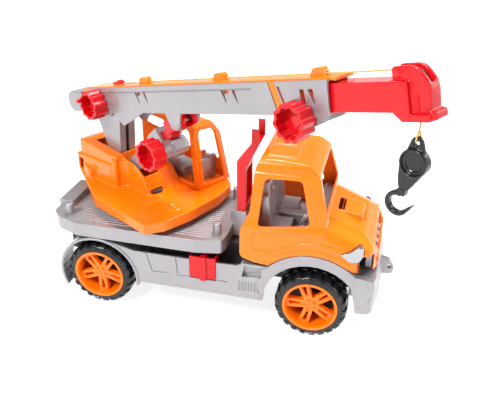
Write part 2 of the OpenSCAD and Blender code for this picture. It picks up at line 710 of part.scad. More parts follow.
module luff_case() color(silver) on_case() difference() {
    union() {
        across(-9, 9)
            polygon(rounded([[-6, -7, 5], [32, -10.8, 0], [74, -11.4, 0], [74, 10.5, 0], [40, 8.4, 0],
            [-6, 7, 5]], 3));
        across(-10.4, 10.4)
            polygon([[66, -11.4], [70, -13.4], [case_mouth, -13.4], [case_mouth, 12.4], [70, 12.4],
            [66, 10.4]]);
        across(-8.4, 8.4)
            polygon([[60, -9], [case_mouth, -22], [104, -22], [104, -10.8], [case_mouth, -10.8]]);
        bar(luff_pinion_at, 9.5, -24, 12.5);
    }
    across(-6.3, 6.3) polygon([[24, -6.6], [case_mouth + 30, -6.6], [case_mouth + 30, 6.4], [24, 6.4]]);
    across(-6.3, 6.3) polygon([[42, -8.6], [120, -8.6], [120, 0], [42, 0]]);
    intersection() {
        bar(luff_pinion_at, luff_pinion_r + 1.9, -6.3, 6.3);
        box([60, -7, -40], [120, 7, 10]);
    }
    bar(luff_pinion_at, 3 + running_gap, -30, 14);
    bar([0, 0], 2.5 + running_gap, -20, 20);
    both_sides() box([30, 8.6, -2], [64, 12, 2]);
    box([104.4, -30, -60], [140, 30, 10]);
}

// The rod carries the rack and the fork that holds the boom's lug
module luff_rod() color(red) on_case() difference() {
    union() {
        across(-5.6, 5.6) {
            polygon([[44, -5.3], [106, -5.3], [106, 5.3], [44, 5.3]]);
            translate([luff_pinion_at.x, luff_pinion_at.y + luff_pinion_r])
                rack_outline(gear_module, -28, 13, 3);
        }
        across(-10.4, 10.4) polygon(rounded([[105.4, -4.4, 0], [118, -4.4, 1], [118, 9, 2], [105.4, 11, 2]], 3));
        both_sides() across(5.9, 10.4)
            polygon(concat([[112, -4.4]], arc([case_to_lug, 0], 8.4, -80, 80, 12), [[110, 8.6]]));
    }
    bar([case_to_lug, 0], 4.6, -20, 20);
}

module luff_pinion() color(dark) on_case() {
    bar(luff_pinion_at, 3, -28.8, 10);
    translate([luff_pinion_at.x, 5.8, luff_pinion_at.y]) rotate([90, 0, 0])
        toothed(luff_teeth, gear_module, 11.6);
}

// A lobed hand knob standing on the X-Y plane, hollow at its free end
module knob_body() difference() {
    linear_extrude(knob_l) polygon([for (a = [0 : 3 : 357])
        (knob_r - 1 + cos(10 * a)) * [cos(a), sin(a)]]);
    translate([0, 0, 5.4]) linear_extrude(knob_l) polygon([for (a = [0 : 3 : 357])
        (knob_r - 4 + 0.8 * cos(10 * a)) * [cos(a), sin(a)]]);
}

// A knob with its base at y = -y0 that points to the crane's right, about the axis at [x, z]
module knob(at, y0, shaft_r) translate([at.x, -y0, at.y]) rotate([90, 0, 0]) difference() {
    union() {
        knob_body();
        translate([0, 0, 1]) cylinder(r = 5, h = 5.4);
    }
    translate([0, 0, -1]) cylinder(r = shaft_r, h = 5.4);
}

module luff_knob() color(red) on_case() knob(luff_pinion_at, 24.4, 3);

// ---------- boom ----------
inner_half = 9.8;

module cover_outline() difference() {
    polygon(concat([[-25, boom_low + 0.5], [-9, boom_low]], arc([0, 0], 7, 200, 340, 8),
        [[9, boom_low], [24, -17], [27, -17.5], [68, boom_low], [108, boom_low]],
        arc(lug_at, 8, 190, 350, 10), [[133, boom_low], [270, boom_low], [283, -14.5], [296, -15], [318, -8],
        [318, boom_low], [boom_reach - 2, boom_low], [boom_reach, boom_top], [-30, boom_top]]));
    polygon([[268, -1], [276, -1], [268.6, boom_top + 1], [260.6, boom_top + 1]]);
}

// A pair of tapered slots under the covers' groove, and the window beside the first
module slot_pair(x) {
    for (k = [0, 15]) polygon([[x + k, 20], [x + k + 4, 20], [x + k + 6, 8.5], [x + k + 5, 8.5]]);
}

module cover_slots() {
    for (x = [61, 200]) slot_pair(x);
    polygon([[297, -3], [301.6, -3], [300, 19], [295.6, 19]]);
    polygon([[304.4, 19], [309.4, 19], [310.4, 7], [309.4, 7]]);
}

module cover(side) mirror([0, side < 0 ? 1 : 0, 0]) difference() {
    union() {
        across(cover_in, boom_w / 2) cover_outline();
        across(10.9, boom_w / 2) difference() {
            polygon(concat([[113, boom_low - 0.4]], arc(lug_at, 8, 190, 350, 10), [[128, boom_low - 0.4]]));
        }
    }
    across(boom_w / 2 - 0.7, boom_w / 2 + 1) polygon([[-8, boom_low], [-5, boom_low], [-7, 20], [240, 20],
        [240, 21.2], [-10, 21.2]]);
    across(5, 20) cover_slots();
    across(5, 20) polygon([[280, -6], [283, -6], [273.6, 22], [271, 22]]);
    for (x = [65.6, 204.6]) across(0, 20) polygon([[x, 17], [x + 6.4, 17], [x + 6, 20], [x, 20]]);
    bar([0, 0], 3, 0, 20);
    bar(lug_at, 2, 0, 13.2);
    bar(winch_at, 3 + running_gap, 0, 20);
    bar(tele_pinion_at, 3 + running_gap, 0, 20);
}

module boom_cover_left() color(silver) on_boom() cover(1);
module boom_cover_right() color(silver) on_boom() cover(-1);

// The orange channel that the covers close, with the slot for the inner boom
module boom_core() color(orange) on_boom() difference() {
    union() {
        across(-cover_in + 0.1, cover_in - 0.1)
            polygon([[14, boom_low + 0.4], [boom_reach - 3, boom_low + 0.4],
            [boom_reach - 2, boom_top], [boom_reach + 7, boom_top - 1.6], [boom_reach + 7, boom_top + 1.2],
            [-34, boom_top + 1.2], [-46, boom_top - 2], [-46, boom_top - 4.6], [-6, boom_top - 1.4],
            [14, boom_top - 4]]);
        across(-boom_w / 2 + 0.6, boom_w / 2 - 0.6) {
            polygon([[268.4, -0.6], [275.4, -0.6], [268, boom_top + 0.2], [261, boom_top + 0.2]]);
            polygon([[-34, boom_top - 8], [-31, boom_top - 8], [-31, boom_top + 1.2], [-36, boom_top + 1.2]]);
        }
    }
    across(-cover_in + 1.6, cover_in - 1.6) polygon([[13, -1.1], [boom_reach + 20, -1.1],
        [boom_reach + 20, boom_top - 2.7], [13, boom_top - 2.7]]);
    across(-5.8, 5.8) polygon([[140, -5], [boom_reach + 20, -5], [boom_reach + 20, 2], [140, 2]]);
    box([24, -2, boom_top - 6], [60, 2, boom_top + 4]);
    both_sides() across(5, 20) cover_slots();
}

module luff_lug_pin() color(steel) on_boom() bar(lug_at, 2, -13.2, 13.2);

module boom_tail_cap() color(silver) on_boom() difference() {
    across(-boom_w / 2, boom_w / 2)
        polygon(concat([[-31, boom_low + 1], [-31, boom_top - 8.6], [-36.6, boom_top - 5],
            [-47, boom_top - 5.6]],
        arc([-74, 11.4], 13, 80, 270, 12)));
    across(-cover_in, cover_in)
        polygon([[-30, -10], [-30, boom_top + 2], [-46.6, boom_top + 2], [-60, 20], [-60, 3],
            [-50, boom_low - 2]]);
    both_sides() across(boom_w / 2 - 0.8, boom_w / 2 + 1)
        polygon([[-62, -5], [-60.6, -5], [-60.6, 30], [-62, 30]]);
}

module boom_pivot_pin() color(steel) on_boom() bar([0, 0], 3, -boom_w / 2 - 0.4, boom_w / 2 + 0.4);

module guide(x) translate([x, 0, boom_top + 1.2]) difference() {
    across(-4, 4) polygon(rounded([[-8, -0.6, 0], [8, -0.6, 0], [5, 6.6, 3], [-4, 6.6, 3]], 4));
    translate([0, 0, cord_run_t - boom_top - 1.2]) rotate([0, 90, 0])
        cylinder(r = 1.5, h = 40, center = true);
}

module cord_guides() color(orange) on_boom() for (x = [66, 188, 308]) guide(x);

module boom_screws() color(steel) on_boom() for (x = [90, 240])
    bar([x, 12], 1.6, cover_in - 1.2, boom_w / 2 + 0.4);

// ---------- winch ----------
module winch_drum() color(dark) on_boom() {
    bar(winch_at, 3, -18, boom_w / 2 + 1);
    bar(winch_at, 4, -10, 10);
    for (y = [-10.8, 9.2]) bar(winch_at, 6, y, y + 1.6);
}

module winch_knob() color(red) on_boom() {
    knob(winch_at, boom_w / 2 + 0.6, 3);
    translate([winch_at.x - 13, -boom_w / 2 - knob_l + 2, winch_at.y + 7]) rotate([90, 0, 0])
        cylinder(r = 2.4, h = 7, $fn = 24);
}

module winch_latch() color(red) on_boom() {
    across(-3, 3)
        polygon(rounded([[6, boom_top + 1.6, 0], [20, boom_top + 1.6, 0], [22, boom_top + 4, 1],
            [16, boom_top + 6.2, 1.5], [10, boom_top + 4.2, 1], [5, boom_top + 4.6, 1]], 3));
}

// ---------- telescope ----------
module telescope_pinion() color(dark) on_boom() {
    bar(tele_pinion_at, 3, -18, 14.4);
    translate([tele_pinion_at.x, 4.8, tele_pinion_at.y]) rotate([90, 0, 0])
        toothed(tele_teeth, gear_module, 9.6);
}

module telescope_knob() color(red) on_boom() knob(tele_pinion_at, boom_w / 2 + 0.6, 3);

inner_low = -0.6;
inner_top = 22.4;
inner_tail = 205;
head_x = 380;

// The red section that slides in the boom, with its rack along the underside
module inner_boom() color(red) on_boom() {
    difference() {
        across(-inner_half, inner_half) polygon([[inner_tail, inner_low], [head_x + 3, inner_low],
            [head_x + 3, inner_top], [inner_tail, inner_top]]);
        across(-inner_half + 2.2, inner_half - 2.2) polygon([[inner_tail - 1, 3.2], [head_x + 4, 3.2],
            [head_x + 4, inner_top - 2], [inner_tail - 1, inner_top - 2]]);
        across(-5.4, 5.4)
            polygon([[inner_tail - 1, -5], [head_x - 2, -5], [head_x - 2, 1.5], [inner_tail - 1, 1.5]]);
    }
    across(-5, 5) translate([tele_pinion_at.x, tele_pinion_at.y + tele_pinion_r])
        rack_outline(gear_module, inner_tail - tele_pinion_at.x, head_x - 2 - tele_pinion_at.x, 0.9);
}

// ---------- head ----------
head_out = rounded([[379, -0.4, 1], [386.4, -7.3, 1.5], [408, -7.3, 1], [409, 20, 14], [399, 32.5, 11],
    [379, 32.5, 2.5]], 6);
slot_half = 3.6;

module boom_head() color(red) on_boom() difference() {
    union() {
        across(-7.2, 7.2) polygon(head_out);
        across(-11.4, 11.4) polygon(rounded([[379, -0.8, 1], [386, -7, 1], [393, -7, 0], [393, 21.6, 1],
            [379, 23.6, 1]], 3));
        across(-11, 11)
            polygon(rounded([[385.6, -7.3, 1], [409, -7.3, 1], [409, -1.4, 1], [385.6, -1.4, 0]], 3));
        across(-8, 8) polygon(rounded([[404, -7.3, 0], [412.4, -6.4, 1], [412.4, -0.4, 1], [404, 1, 0]], 3));
        bar([385.4, 27.6], 2.6, -8, 8);
    }
    across(-slot_half, slot_half) polygon([[383.2, -20], [404.6, -20], [404.6, 19], [414, 22], [414, 40],
        [370, 40], [370, 27], [383.2, 27]]);
    across(-inner_half, inner_half) polygon([[370, inner_low], [383.6, inner_low], [383.6, inner_top],
        [370, inner_top]]);
    both_sides() across(6.4, 8) polygon([[396, 0], [399, 0], [399, 13], [396, 13]]);
    bar(pulley_at, 1.5, -6.4, 6.4);
}

module pulley_pin() color(steel) on_boom() bar(pulley_at, 1.5, -6.4, 6.4);

module head_pulley() color(dark) on_boom() translate([pulley_at.x, 0, pulley_at.y]) rotate([90, 0, 0])
    difference() {
    rotate_extrude($fn = 64) polygon([[0, -3], [8.8, -3], [8.8, -2], [pulley_groove_r, -0.7],
        [pulley_groove_r, 0.7], [8.8, 2], [8.8, 3], [0, 3]]);
    cylinder(r = 1.5 + running_gap, h = 20, center = true);
    for (k = [0 : 4]) rotate([0, 0, 72 * k]) translate([4.6, 0, 0]) cylinder(r = 1.3, h = 20, center = true);
}

// ---------- cord and hook ----------
fall_x = boom_pivot.x + pulley_at.x * cos(boom_angle) - pulley_at.y * sin(boom_angle) + pulley_groove_r + cord_d / 2;
fall_top = boom_pivot.y + pulley_at.x * sin(boom_angle) + pulley_at.y * cos(boom_angle);
head_low = fall_top - 26.2;
eye_z = head_low - cord_drop;
loop_z = eye_z + 1.5;
knot_z = eye_z + 7.4;
cord_r = cord_d / 2;
drum_out = [winch_at.x - 0.8, winch_at.y + 4 + cord_r + 0.1];
first_guide = 60;
span_from = 318;
span_to = 384;

// A straight round bar from point a to point b
module strut(a, b, r) {
    d = b - a;
    translate(a) rotate([0, acos(d.z / norm(d)), atan2(d.y, d.x)]) cylinder(r = r, h = norm(d), $fn = 16);
}

module cord_on_boom() color(cord_colour) on_boom() {
    strut([drum_out.x, 0, drum_out.y], [first_guide, 0, cord_run_t], cord_r);
    translate([first_guide, 0, cord_run_t]) sphere(r = cord_r + 0.08, $fn = 16);
    strut([first_guide, 0, cord_run_t], [span_from, 0, cord_run_t], cord_r);
}

module cord_span() color(cord_colour) on_boom()
    strut([span_from, 0, cord_run_t], [span_to, 0, cord_run_t], cord_r);

module cord_on_head() color(cord_colour) on_boom() {
    strut([span_to, 0, cord_run_t], [pulley_at.x, 0, cord_run_t], cord_r);
    translate([pulley_at.x, 0, pulley_at.y]) rotate([90, 0, 0]) rotate([0, 0, -boom_angle + 8])
        rotate_extrude(angle = 82 + boom_angle) translate([pulley_groove_r + cord_r + 0.02, 0])
            circle(r = cord_r, $fn = 16);
}

module cord_fall() color(cord_colour) on_deck()
    strut([fall_x, 0, knot_z + 1.78], [fall_x, 0, fall_top], cord_r);

// The knot and the loop that goes through the hook block's eye
module cord_knot() color(cord_colour) on_deck() {
    translate([fall_x, 0, knot_z]) sphere(r = 1.7, $fn = 24);
    for (side = [-1, 1]) {
        strut([fall_x, 0, knot_z], [fall_x, side * 2.9, knot_z - 2.4], cord_r);
        strut([fall_x, side * 2.9, knot_z - 2.4], [fall_x, side * 3.2, loop_z], cord_r);
        for (at = [[2.9, knot_z - 2.4], [3.2, loop_z]])
            translate([fall_x, side * at.x, at.y]) sphere(r = cord_r + 0.06, $fn = 16);
    }
    strut([fall_x, -3.2, loop_z], [fall_x, 3.2, loop_z], cord_r);
}

block_z = eye_z - 16.2;
block_r = 11.6;
shank_x = fall_x - 6.6;

module hook_block() color(black) on_deck() difference() {
    union() {
        across(-1.9, 1.9) polygon(concat([[fall_x + 8, block_z + 7]], arc([fall_x, eye_z], 4.8, 15, 165, 10),
            [[fall_x - 8, block_z + 7]]));
        translate([fall_x, 0, block_z]) rotate([90, 0, 0]) rotate_extrude($fn = 72) polygon([[0, -4.2],
            [9.8, -4.2], [10.8, -4.6], [block_r, -3.8], [block_r, 3.8], [10.8, 4.6], [9.8, 4.2], [0, 4.2]]);
        across(-3.7, 3.7) polygon(rounded([[fall_x - 11.2, block_z, 0], [fall_x - 11, block_z - 14, 6],
            [fall_x - 9.6, block_z - 23.4, 3], [fall_x - 1.2, block_z - 23.4, 3],
                [fall_x + 10.4, block_z - 5, 0]], 5));
    }
    bar([fall_x, eye_z], 2.2, -5, 5);
    both_sides() {
        bar([fall_x, block_z], 9.6, 2.2, 6);
        bar([fall_x, block_z], 7.2, 1.2, 6);
    }
    translate([shank_x, 0, block_z - 25]) cylinder(r = 2 + running_gap, h = 9.4);
}

hook_out = 10.6;
hook_in = 6.9;
hook_at = [fall_x - 9.8, block_z - 37.6];

module hook() color(black) on_deck() {
    translate([shank_x, 0, block_z - 29]) cylinder(r = 2, h = 13);
    across(-2.8, 2.8) polygon([[shank_x - 3.6, block_z - 23.9], [shank_x - 3.9, block_z - 28.4],
        [shank_x - 4.6, block_z - 29.6], [shank_x + 2.6, block_z - 29.6], [shank_x + 3.6, block_z - 23.9]]);
    translate([hook_at.x, 0, hook_at.y]) rotate([90, 0, 0]) rotate([0, 0, 72])
        rotate_extrude(angle = 248, $fn = 72)
        polygon([[hook_in, -2.2], [hook_in + 0.7, -2.9], [hook_out - 0.7, -2.9], [hook_out, -2.2],
            [hook_out, 2.2], [hook_out - 0.7, 2.9], [hook_in + 0.7, 2.9], [hook_in, 2.2]]);
    translate([hook_at.x, 0, hook_at.y]) rotate([90, 0, 0]) rotate([0, 0, -40]) translate([0, 0, -2.4])
        linear_extrude(4.8) polygon([[hook_in + 0.1, -0.4], [hook_out - 0.1, -0.4], [hook_out - 0.6, 7],
            [hook_out - 1.4, 9.6], [hook_in + 1.4, 9.6], [hook_in + 0.7, 7]]);
}

chassis_shell();
chassis_frame();
bed();
cab_shell();
cab_interior();
grille_insert();
headlamp_left();
headlamp_right();
locker_left();
locker_right();
boom_rest();
slew_pin();
chassis_screws();
rear_axle();
rear_rim_left();
rear_rim_right();
rear_tyre_left();
rear_tyre_right();
front_axle();
front_rim_left();
front_rim_right();
front_tyre_left();
front_tyre_right();
deck();
pedestal();
crane_cab();
crane_seat();
crane_console();
case_pin();
deck_screws();
luff_case();
luff_rod();
luff_knob();
luff_pinion();
boom_core();
boom_cover_left();
boom_cover_right();
boom_tail_cap();
boom_pivot_pin();
luff_lug_pin();
cord_guides();
boom_screws();
winch_knob();
winch_drum();
winch_latch();
telescope_knob();
telescope_pinion();
inner_boom();
boom_head();
head_pulley();
pulley_pin();
cord_on_boom();
cord_span();
cord_on_head();
cord_fall();
cord_knot();
hook_block();
hook();
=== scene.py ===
"""The toy crane truck's looks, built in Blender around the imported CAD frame."""
import json
import math

import bmesh
import bpy
import numpy as np
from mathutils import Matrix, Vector


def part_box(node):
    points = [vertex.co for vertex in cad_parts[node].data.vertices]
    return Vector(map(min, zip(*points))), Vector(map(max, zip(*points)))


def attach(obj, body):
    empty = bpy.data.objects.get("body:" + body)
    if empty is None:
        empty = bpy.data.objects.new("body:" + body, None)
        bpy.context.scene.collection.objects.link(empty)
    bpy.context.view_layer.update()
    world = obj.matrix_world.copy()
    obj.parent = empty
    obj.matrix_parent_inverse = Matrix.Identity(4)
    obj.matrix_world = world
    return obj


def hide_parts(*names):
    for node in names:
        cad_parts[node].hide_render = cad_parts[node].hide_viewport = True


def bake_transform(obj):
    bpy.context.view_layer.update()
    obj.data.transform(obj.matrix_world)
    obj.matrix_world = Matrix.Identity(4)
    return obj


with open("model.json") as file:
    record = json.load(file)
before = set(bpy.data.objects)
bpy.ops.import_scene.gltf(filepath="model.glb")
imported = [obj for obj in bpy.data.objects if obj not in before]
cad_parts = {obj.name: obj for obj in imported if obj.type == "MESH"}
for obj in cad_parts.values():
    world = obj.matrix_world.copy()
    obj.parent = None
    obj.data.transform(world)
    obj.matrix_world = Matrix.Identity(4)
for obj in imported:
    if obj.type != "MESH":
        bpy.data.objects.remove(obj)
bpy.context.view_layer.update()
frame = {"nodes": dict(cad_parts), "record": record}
nodes = frame["nodes"]
scene = bpy.context.scene
MM = 0.001

# ---------- camera, floor and light ----------
# the solved camera: place in metres, turn and tilt in degrees, lens for the sensor's width
CAMERA_AT = (0.260, -0.610, 0.465)
CAMERA_TURN = 14.60
CAMERA_DOWN = 27.69
SENSOR_MM = 36
LENS_MM = 45.12
SHIFT = (0.0242, -0.0104)

WORLD_STRENGTH = 0.36
FLOOR_GREY = 0.5
FLOOR_GLOW = 0.8
FLOOR_ROUGHNESS = 0.7
FLOOR_SPECULAR = 0.1
WHITE = (1, 1, 1, 1)
# name, place and the point it faces in metres, size in metres, power in watts
LIGHTS = (("key", (-0.45, -1.0, 1.3), (0.1, 0, 0.1), (0.5, 0.4), 26),
          ("top", (0.15, 0.35, 1.3), (0.1, 0, 0.1), (0.9, 0.3), 19),
          ("side", (1.2, -0.5, 0.7), (0.1, 0, 0.15), (0.3, 0.7), 3.5),
          ("rim", (1.2, 0.7, 0.6), (0.2, -0.1, 0.15), (0.6, 0.8), 8))
# the floor's outline from its flat middle outwards: radius and height in metres
SWEEP = ((24, 0), (26, 0.15), (28, 0.8), (29.3, 2.0), (30, 3.6), (30.3, 5.5))
SWEEP_SIDES = 96


def make_camera():
    data = bpy.data.cameras.new("camera")
    data.sensor_width = SENSOR_MM
    data.lens = LENS_MM
    data.shift_x, data.shift_y = SHIFT
    camera = bpy.data.objects.new("camera", data)
    camera.location = CAMERA_AT
    camera.rotation_euler = (math.radians(90 - CAMERA_DOWN), 0, math.radians(CAMERA_TURN))
    scene.collection.objects.link(camera)
    scene.camera = camera


def area_light(name, at, towards, size, power):
    data = bpy.data.lights.new(name, "AREA")
    data.shape = "RECTANGLE"
    data.size, data.size_y = size
    data.energy = power
    light = bpy.data.objects.new(name, data)
    light.location = at
    light.rotation_euler = (Vector(towards) - Vector(at)).to_track_quat("-Z", "Y").to_euler()
    scene.collection.objects.link(light)


def sweep_mesh():
    """A flat round floor whose far edge curves up into a low wall, so that it has no horizon line."""
    mesh = bmesh.new()
    angles = [2 * math.pi * k / SWEEP_SIDES for k in range(SWEEP_SIDES)]
    rings = [[mesh.verts.new((r * math.cos(a), r * math.sin(a), z)) for a in angles] for r, z in SWEEP]
    mesh.faces.new(rings[0])
    for low, high in zip(rings, rings[1:]):
        for k in range(SWEEP_SIDES):
            after = (k + 1) % SWEEP_SIDES
            mesh.faces.new((low[k], low[after], high[after], high[k])).smooth = True
    data = bpy.data.meshes.new("floor")
    mesh.to_mesh(data)
    mesh.free()
    return data


def make_studio():
    world = bpy.data.worlds.new("studio")
    world.use_nodes = True
    background = world.node_tree.nodes["Background"]
    background.inputs["Color"].default_value = WHITE
    background.inputs["Strength"].default_value = WORLD_STRENGTH
    scene.world = world
    for light in LIGHTS:
        area_light(*light)
    floor = bpy.data.objects.new("floor", sweep_mesh())
    scene.collection.objects.link(floor)
    material = bpy.data.materials.new("floor")
    material.use_nodes = True
    shader = material.node_tree.nodes["Principled BSDF"]
    shader.inputs["Base Color"].default_value = (FLOOR_GREY, FLOOR_GREY, FLOOR_GREY, 1)
    shader.inputs["Emission Color"].default_value = WHITE
    shader.inputs["Emission Strength"].default_value = FLOOR_GLOW
    shader.inputs["Roughness"].default_value = FLOOR_ROUGHNESS
    shader.inputs["Specular IOR Level"].default_value = FLOOR_SPECULAR
    floor.data.materials.append(material)
    scene.view_settings.view_transform = "Standard"


# ---------- materials ----------
# a Mix node's sockets in colour mode
MIX_FACTOR, MIX_A, MIX_B, MIX_RESULT = 0, 6, 7, 2

COAT_ROUGHNESS = 0.08
BEVEL_SAMPLES = 6
# how far the roughness strays from its middle value
GLOSS_LEAST, GLOSS_MOST = 0.8, 1.25
# noise scales, in waves per metre of the object
DRIFT_SCALE = 14
GLOSS_SCALE = 60
FINE_SCALE = 1800
FLAKE_SCALE = 2600
# heights that a bump node gives, in metres
PEEL_HEIGHT = 0.001
FACET_HEIGHT = 0.001
FINE_HEIGHT = 0.0002
GRAIN_HEIGHT = 0.0001


def noise(tree, where, scale, detail=2.0):
    node = tree.nodes.new("ShaderNodeTexNoise")
    node.inputs["Scale"].default_value = scale
    node.inputs["Detail"].default_value = detail
    tree.links.new(where, node.inputs["Vector"])
    return node.outputs["Fac"]


def ramp(tree, value, low, high, start=0.3, end=0.7):
    """Spreads a noise value's middle part, start to end, over low to high."""
    node = tree.nodes.new("ShaderNodeMapRange")
    node.inputs["From Min"].default_value = start
    node.inputs["From Max"].default_value = end
    node.inputs["To Min"].default_value = low
    node.inputs["To Max"].default_value = high
    tree.links.new(value, node.inputs["Value"])
    return node.outputs["Result"]


def mix_colour(tree, value, dark, light):
    node = tree.nodes.new("ShaderNodeMix")
    node.data_type = "RGBA"
    node.inputs[MIX_A].default_value = (*dark, 1)
    node.inputs[MIX_B].default_value = (*light, 1)
    tree.links.new(value, node.inputs[MIX_FACTOR])
    return node.outputs[MIX_RESULT]


def overlay(tree, colour, grain, share):
    """The colour with a grey grain laid over it."""
    node = tree.nodes.new("ShaderNodeMix")
    node.data_type = "RGBA"
    node.blend_type = "OVERLAY"
    node.inputs[MIX_FACTOR].default_value = share
    tree.links.new(colour, node.inputs[MIX_A])
    tree.links.new(mix_colour(tree, grain, (0.2, 0.2, 0.2), (0.8, 0.8, 0.8)), node.inputs[MIX_B])
    return node.outputs[MIX_RESULT]


def bump(tree, height, strength, distance, after=None):
    node = tree.nodes.new("ShaderNodeBump")
    node.inputs["Strength"].default_value = strength
    node.inputs["Distance"].default_value = distance
    tree.links.new(height, node.inputs["Height"])
    if after is not None:
        tree.links.new(after, node.inputs["Normal"])
    return node.outputs["Normal"]


def round_edges(tree, radius):
    node = tree.nodes.new("ShaderNodeBevel")
    node.samples = BEVEL_SAMPLES
    node.inputs["Radius"].default_value = radius
    return node.outputs["Normal"]


def new_material(name):
    """A material, its node tree, its shader and the place on the object."""
    material = bpy.data.materials.new(name)
    material.use_nodes = True
    tree = material.node_tree
    place = tree.nodes.new("ShaderNodeTexCoord").outputs["Object"]
    return material, tree, tree.nodes["Principled BSDF"], place


def moulded(name, colour, rough, metallic=0.0, peel=0.06, peel_scale=260, vary=0.06, flake=0.0, coat=0.0,
            specular=0.5, edge=0.0009, facets=0):
    """Injection-moulded plastic: a faint colour drift, an uneven gloss and the mould's fine surface."""
    material, tree, shader, place = new_material(name)
    drift = ramp(tree, noise(tree, place, DRIFT_SCALE, 3), 0, 1)
    dark = tuple(c * (1 - vary) for c in colour)
    light = tuple(min(c * (1 + vary), 1) for c in colour)
    shade = mix_colour(tree, drift, dark, light)
    if flake:
        grain = ramp(tree, noise(tree, place, FLAKE_SCALE, 1), 0, 1, 0.35, 0.65)
        shade = overlay(tree, shade, grain, flake)
    tree.links.new(shade, shader.inputs["Base Color"])
    gloss = ramp(tree, noise(tree, place, GLOSS_SCALE, 4), rough * GLOSS_LEAST, rough * GLOSS_MOST)
    tree.links.new(gloss, shader.inputs["Roughness"])
    shape = round_edges(tree, edge)
    if facets:
        cells = tree.nodes.new("ShaderNodeTexVoronoi")
        cells.inputs["Scale"].default_value = facets
        tree.links.new(place, cells.inputs["Vector"])
        shape = bump(tree, cells.outputs["Distance"], 0.6, FACET_HEIGHT, shape)
    fine = bump(tree, noise(tree, place, FINE_SCALE), 0.05, FINE_HEIGHT, shape)
    skin = bump(tree, noise(tree, place, peel_scale), peel, PEEL_HEIGHT, fine)
    tree.links.new(skin, shader.inputs["Normal"])
    shader.inputs["Metallic"].default_value = metallic
    shader.inputs["Specular IOR Level"].default_value = specular
    shader.inputs["Coat Weight"].default_value = coat
    shader.inputs["Coat Roughness"].default_value = COAT_ROUGHNESS
    return material


def plated_steel(name):
    """Zinc-plated steel: a faint colour drift, an uneven gloss and a fine grain."""
    material, tree, shader, place = new_material(name)
    drift = ramp(tree, noise(tree, place, 300, 3), 0, 1)
    shade = mix_colour(tree, drift, (0.52, 0.52, 0.54), (0.68, 0.68, 0.69))
    tree.links.new(shade, shader.inputs["Base Color"])
    gloss = ramp(tree, noise(tree, place, 900, 3), 0.22, 0.4)
    tree.links.new(gloss, shader.inputs["Roughness"])
    grain = bump(tree, noise(tree, place, 3000), 0.1, GRAIN_HEIGHT)
    tree.links.new(grain, shader.inputs["Normal"])
    shader.inputs["Metallic"].default_value = 1.0
    return material


ORANGE = moulded("orange_moulded", (0.95, 0.180, 0.001), 0.2, peel=0.05, vary=0.04, coat=0.1, specular=0.4,
                 edge=0.0014)
SILVER = moulded("silver_moulded", (0.34, 0.33, 0.345), 0.33, metallic=0.55, peel=0.04, vary=0.06, flake=0.2,
                 coat=0.15)
RED = moulded("red_moulded", (0.60, 0.002, 0.007), 0.2, peel=0.05, vary=0.06, coat=0.1, specular=0.35)
BLACK = moulded("black_moulded", (0.008, 0.008, 0.010), 0.2, peel=0.05, vary=0.12, coat=0.15, specular=0.35)
DARK = moulded("dark_moulded", (0.035, 0.035, 0.038), 0.5, peel=0.08, vary=0.15)
TYRE = moulded("tyre_moulded", (0.009, 0.009, 0.010), 0.24, peel=0.1, peel_scale=420, vary=0.2, edge=0.0004)
LENS = moulded("headlamp_lens", (0.40, 0.41, 0.43), 0.2, metallic=0.9, peel=0.02, vary=0.05, coat=0.4,
               facets=260)
STEEL = plated_steel("zinc_steel")
CORD = moulded("cord_yarn", (0.72, 0.40, 0.10), 0.75, peel=0.3, peel_scale=1500, vary=0.12, specular=0.2,
               edge=0.0001)
OF_SLOT = {"orange_plastic": ORANGE, "silver_plastic": SILVER, "red_plastic": RED, "black_plastic": BLACK,
           "dark_plastic": DARK, "tyre": TYRE, "steel": STEEL, "cord": CORD}


# ---------- pieces ----------
SLOT_OF = {s["node"]: s["material_slot"] for s in frame["record"]["subparts"]}
BODY_OF = {n: body for body, names in frame["record"]["behaviour"]["bodies"].items() for n in names}
# vertices nearer than this, in metres, are one vertex
WELD_GAP = 1e-6


def dress(o, material):
    o.data.materials.clear()
    o.data.materials.append(material)


def new_piece(name, mesh, material, body, *stands_for):
    """A visual piece that stands for CAD nodes, which it hides, and rides on a body; a piece given no body is
    not attached.
    """
    piece = bpy.data.objects.new(name, mesh)
    scene.collection.objects.link(piece)
    dress(piece, material)
    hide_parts(*stands_for)
    if body:
        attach(piece, body)
    return piece


def modifier(o, name, kind, **values):
    added = o.modifiers.new(name, kind)
    for key, value in values.items():
        setattr(added, key, value)


def finish_mesh(name, mesh):
    """Turns a bmesh into smooth-shaded mesh data."""
    for face in mesh.faces:
        face.smooth = True
    data = bpy.data.meshes.new(name)
    mesh.to_mesh(data)
    mesh.free()
    return data


# ---------- shells with the soft edges of a moulding ----------
# node: voxel in millimetres, smoothing passes, share of the faces that is kept
SOFT_SHELLS = {"cab_shell": (0.8, 8, 0.3), "deck": (0.8, 8, 0.3), "crane_cab": (0.8, 8, 0.3),
               "hook_block": (0.45, 8, 0.35), "boom_head": (0.6, 6, 0.35), "boom_tail_cap": (0.6, 8, 0.35),
               "cab_interior": (0.6, 6, 0.35), "crane_seat": (0.6, 8, 0.4)}


def soft_shell(name, voxel, passes, keep):
    """A copy of a CAD node whose edges are rounded all over, as a mould rounds them, in the node's place."""
    rough = bpy.data.objects.new("rough_" + name, nodes[name].data.copy())
    scene.collection.objects.link(rough)
    modifier(rough, "weld", "WELD", merge_threshold=WELD_GAP)
    modifier(rough, "remesh", "REMESH", mode="VOXEL", voxel_size=voxel * MM, use_smooth_shade=True)
    modifier(rough, "smooth", "SMOOTH", factor=0.5, iterations=passes)
    modifier(rough, "thin", "DECIMATE", ratio=keep)
    mesh = bpy.data.meshes.new_from_object(rough.evaluated_get(bpy.context.evaluated_depsgraph_get()))
    bpy.data.objects.remove(rough)
    new_piece("moulded_" + name, mesh, OF_SLOT[SLOT_OF[name]], BODY_OF[name], name)


